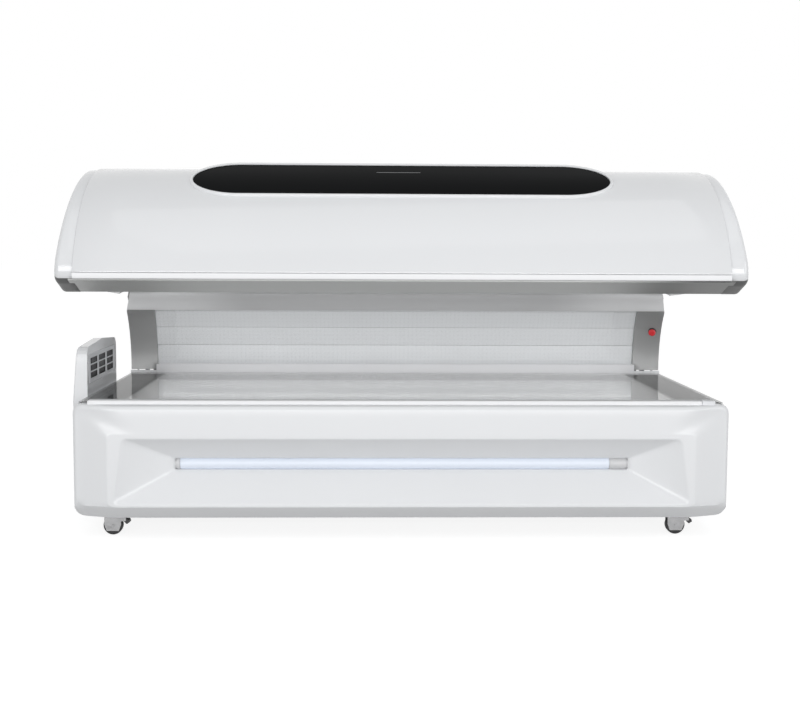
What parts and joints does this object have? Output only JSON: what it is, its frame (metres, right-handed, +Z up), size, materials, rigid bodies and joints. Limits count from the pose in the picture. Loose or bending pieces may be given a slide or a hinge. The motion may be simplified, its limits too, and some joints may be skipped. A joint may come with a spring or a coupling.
{
  "type": "red light therapy bed",
  "caption": "Clamshell light therapy bed: white base on casters with a clear lying sheet, and a rear-hinged arched canopy of light boards with a black console.",
  "frame": {"origin": "on the floor, under the middle of the bed's box", "axes": "+X to the right of someone facing the front, +Y to the back, +Z up"},
  "size_m": [2.2, 1.1007, 1.2156],
  "materials": {
    "white_gloss": "glossy white moulded shell",
    "white_satin": "satin white",
    "white_steel": "white powder coat on sheet steel",
    "white_board": "white coated light board",
    "grey_satin": "satin grey",
    "grey_steel": "grey powder coat",
    "console_black": "glossy black glass",
    "black_plastic": "black satin",
    "polished_steel": "polished",
    "bare_aluminium": "satin anodised",
    "frame_steel": "dark powder coat",
    "clear_sheet": "clear polished acrylic",
    "lamp_white": "milky white diffuser",
    "signal_red": "glossy red",
    "tread_rubber": "black rubber tread"
  },
  "bodies": {
    "base": {"accent_lamp_cap_left": "grey_satin", "accent_lamp_cap_right": "grey_satin", "accent_lamp_tube": "lamp_white", "air_duct": "white_gloss", "base_frame": "frame_steel", "bed_light_board": "white_board", "bottom_pan": "grey_steel", "control_box": "grey_satin", "end_panel_left": "white_gloss", "end_panel_right": "white_gloss", "front_panel": "white_gloss", "front_trim": "bare_aluminium", "hinge_bracket_left": "frame_steel", "hinge_bracket_right": "frame_steel", "hinge_pin_left": "polished_steel", "hinge_pin_right": "polished_steel", "light_tray": "black_plastic", "lying_sheet": "clear_sheet", "power_inlet": "black_plastic", "power_supply": "bare_aluminium", "rear_panel": "white_steel", "rear_sill": "white_steel", "trim_end_cap": "white_satin", "vent_grille": "white_satin"},
    "canopy": {"arm_left": "polished_steel", "arm_right": "polished_steel", "canopy_cap_left": "white_gloss", "canopy_cap_right": "white_gloss", "canopy_frame": "frame_steel", "canopy_light_array": "white_board", "canopy_lip": "grey_satin", "canopy_rear_cover": "white_steel", "canopy_shell": "white_gloss", "canopy_shield": "clear_sheet", "console_bezel": "white_gloss", "console_glass": "console_black", "cross_rail": "bare_aluminium", "front_rail": "bare_aluminium", "stop_collar": "black_plastic", "wall_light_board_lower": "white_board", "wall_light_board_middle": "white_board", "wall_light_board_upper": "white_board"},
    "stop_button": {"stop_button": "signal_red"},
    "duct_fan": {"duct_fan_rotor": "black_plastic"},
    "gas_cylinder_left": {"gas_cylinder_left": "black_plastic"},
    "gas_cylinder_right": {"gas_cylinder_right": "black_plastic"},
    "gas_rod_left": {"gas_rod_left": "polished_steel"},
    "gas_rod_right": {"gas_rod_right": "polished_steel"},
    "caster_front_left": {"caster_fork_front_left": "bare_aluminium"},
    "caster_front_right": {"caster_fork_front_right": "bare_aluminium"},
    "caster_rear_left": {"caster_fork_rear_left": "bare_aluminium"},
    "caster_rear_right": {"caster_fork_rear_right": "bare_aluminium"},
    "wheel_front_left": {"caster_wheel_front_left": "tread_rubber"},
    "wheel_front_right": {"caster_wheel_front_right": "tread_rubber"},
    "wheel_rear_left": {"caster_wheel_rear_left": "tread_rubber"},
    "wheel_rear_right": {"caster_wheel_rear_right": "tread_rubber"},
    "pedal_front_left": {"caster_pedal_front_left": "black_plastic"},
    "pedal_front_right": {"caster_pedal_front_right": "black_plastic"}
  },
  "joints": [
    {"name": "canopy_lift", "type": "hinge", "parent": "base", "child": "canopy", "pos_m": [0, 0.5063, 0.482], "axis": [-1, 0, 0], "range_deg": [-20, 25]},
    {"name": "stop_button_press", "type": "slide", "parent": "canopy", "child": "stop_button", "axis": [0.2941, 0.8731, 0.3888], "range_m": [0, 0.005], "stiffness_N_per_m": 400},
    {"name": "duct_fan_spin", "type": "hinge", "parent": "base", "child": "duct_fan", "pos_m": [-1.0798, -0.0537, 0.26], "axis": [1, 0, 0], "continuous": true},
    {"name": "gas_spring_left_swing", "type": "hinge", "parent": "base", "child": "gas_cylinder_left", "pos_m": [-1.02, 0.4673, 0.2], "axis": [-1, 0, 0], "range_deg": [-1.6, 1.4]},
    {"name": "gas_spring_right_swing", "type": "hinge", "parent": "base", "child": "gas_cylinder_right", "pos_m": [1.02, 0.4673, 0.2], "axis": [-1, 0, 0], "range_deg": [-1.6, 1.4]},
    {"name": "gas_spring_left_stroke", "type": "slide", "parent": "gas_cylinder_left", "child": "gas_rod_left", "axis": [0, -0.0038, 1], "range_m": [-0.0155, 0.019]},
    {"name": "gas_spring_right_stroke", "type": "slide", "parent": "gas_cylinder_right", "child": "gas_rod_right", "axis": [0, -0.0038, 1], "range_m": [-0.0155, 0.019]},
    {"name": "caster_swivel_front_left", "type": "hinge", "parent": "base", "child": "caster_front_left", "pos_m": [-0.918, -0.4287, 0.0775], "axis": [0, 0, 1], "continuous": true},
    {"name": "caster_swivel_front_right", "type": "hinge", "parent": "base", "child": "caster_front_right", "pos_m": [0.918, -0.4287, 0.0775], "axis": [0, 0, 1], "continuous": true},
    {"name": "caster_swivel_rear_left", "type": "hinge", "parent": "base", "child": "caster_rear_left", "pos_m": [-0.918, 0.4213, 0.0775], "axis": [0, 0, 1], "continuous": true},
    {"name": "caster_swivel_rear_right", "type": "hinge", "parent": "base", "child": "caster_rear_right", "pos_m": [0.918, 0.4213, 0.0775], "axis": [0, 0, 1], "continuous": true},
    {"name": "wheel_roll_front_left", "type": "hinge", "parent": "caster_front_left", "child": "wheel_front_left", "pos_m": [-0.938, -0.4287, 0.0315], "axis": [0, 1, 0], "continuous": true},
    {"name": "wheel_roll_front_right", "type": "hinge", "parent": "caster_front_right", "child": "wheel_front_right", "pos_m": [0.898, -0.4287, 0.0315], "axis": [0, 1, 0], "continuous": true},
    {"name": "wheel_roll_rear_left", "type": "hinge", "parent": "caster_rear_left", "child": "wheel_rear_left", "pos_m": [-0.938, 0.4213, 0.0315], "axis": [0, 1, 0], "continuous": true},
    {"name": "wheel_roll_rear_right", "type": "hinge", "parent": "caster_rear_right", "child": "wheel_rear_right", "pos_m": [0.898, 0.4213, 0.0315], "axis": [0, 1, 0], "continuous": true},
    {"name": "brake_pedal_front_left", "type": "hinge", "parent": "caster_front_left", "child": "pedal_front_left", "pos_m": [-0.899, -0.4287, 0.0515], "axis": [0, 1, 0], "range_deg": [0, 14]},
    {"name": "brake_pedal_front_right", "type": "hinge", "parent": "caster_front_right", "child": "pedal_front_right", "pos_m": [0.937, -0.4287, 0.0515], "axis": [0, 1, 0], "range_deg": [0, 14]}
  ],
  "couplings": [
    {"joint": "gas_spring_left_swing", "follows": "canopy_lift", "ratio": -0.052873},
    {"joint": "gas_spring_right_swing", "follows": "canopy_lift", "ratio": -0.052873},
    {"joint": "gas_spring_left_stroke", "follows": "canopy_lift", "m_per_rad": 0.040266},
    {"joint": "gas_spring_right_stroke", "follows": "canopy_lift", "m_per_rad": 0.040266}
  ]
}
